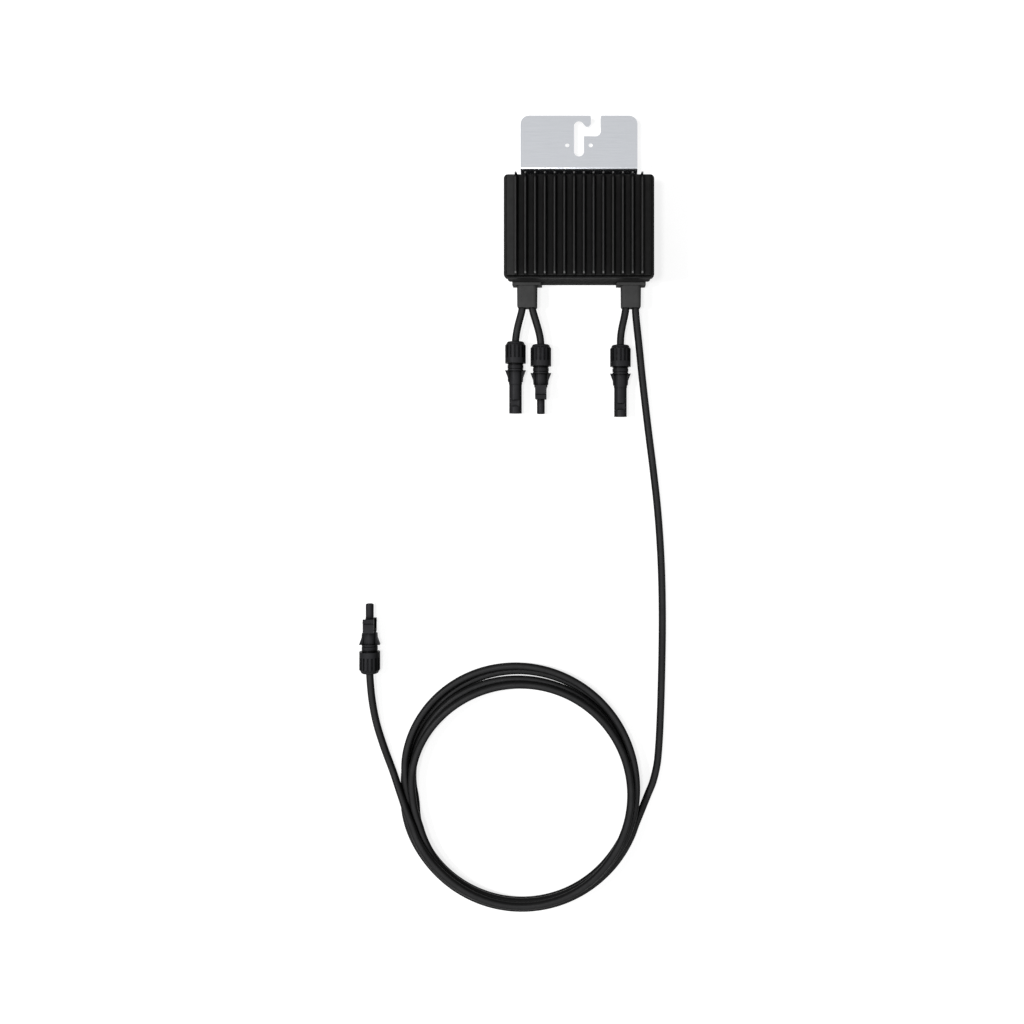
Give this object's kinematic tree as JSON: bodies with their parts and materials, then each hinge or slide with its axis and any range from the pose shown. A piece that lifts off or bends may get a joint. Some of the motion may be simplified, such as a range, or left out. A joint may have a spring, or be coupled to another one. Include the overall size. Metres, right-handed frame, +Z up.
{
  "type": "solar power optimizer",
  "caption": "Finned black box on a folded bracket with a hook slot, which regulates a solar module's power, with short plug-ended leads and a long coiled lead.",
  "frame": {"origin": "middle of the body's length and width, on the plane that the bracket's base lies on", "axes": "+Z up through the fins, +Y from the cable glands to the hook slot, +X to the output gland's side"},
  "size_m": [0.2737, 0.713, 0.059],
  "materials": {
    "cast_black": "satin black coating on a casting",
    "housing_black": "fine grain",
    "gland_grey": "fine grain",
    "bare_aluminium": "mill finish sheet",
    "screw_steel": "zinc plated",
    "rubber": "soft",
    "cable_jacket": "smooth with a soft sheen",
    "connector_black": "satin",
    "contact": "tin plated",
    "board": "solder mask",
    "ferrite": "ground",
    "winding": "enamelled copper",
    "capacitor_case": "moulded",
    "chip_black": "moulded",
    "thermal_pad": "soft filled silicone"
  },
  "bodies": {
    "root": {"heat_sink_cover": "cast_black", "cover_gasket": "rubber", "rear_housing": "housing_black", "cover_screws": "screw_steel", "mounting_bracket": "bare_aluminium", "bracket_screws": "screw_steel", "input_gland": "gland_grey", "output_gland": "gland_grey", "circuit_board": "board", "board_screws": "screw_steel", "lead_terminals": "contact", "inductor_cores": "ferrite", "inductor_windings": "winding", "film_capacitors": "capacitor_case", "power_transistors": "chip_black", "thermal_pad": "thermal_pad", "control_chips": "chip_black", "input_lead_a": "cable_jacket", "input_lead_b": "cable_jacket", "output_lead_short": "cable_jacket", "output_lead_run": "cable_jacket", "output_lead_coil": "cable_jacket", "output_lead_tail": "cable_jacket", "plug_in_nut": "connector_black", "plug_in_housing": "connector_black", "plug_in_seal": "rubber", "plug_in_contact": "contact", "socket_in_nut": "connector_black", "socket_in_housing": "connector_black", "socket_in_seal": "rubber", "socket_in_contact": "contact", "socket_in_ring": "rubber", "plug_out_nut": "connector_black", "plug_out_housing": "connector_black", "plug_out_seal": "rubber", "plug_out_contact": "contact", "socket_out_nut": "connector_black", "socket_out_housing": "connector_black", "socket_out_seal": "rubber", "socket_out_contact": "contact", "socket_out_ring": "rubber"}
  },
  "joints": []
}
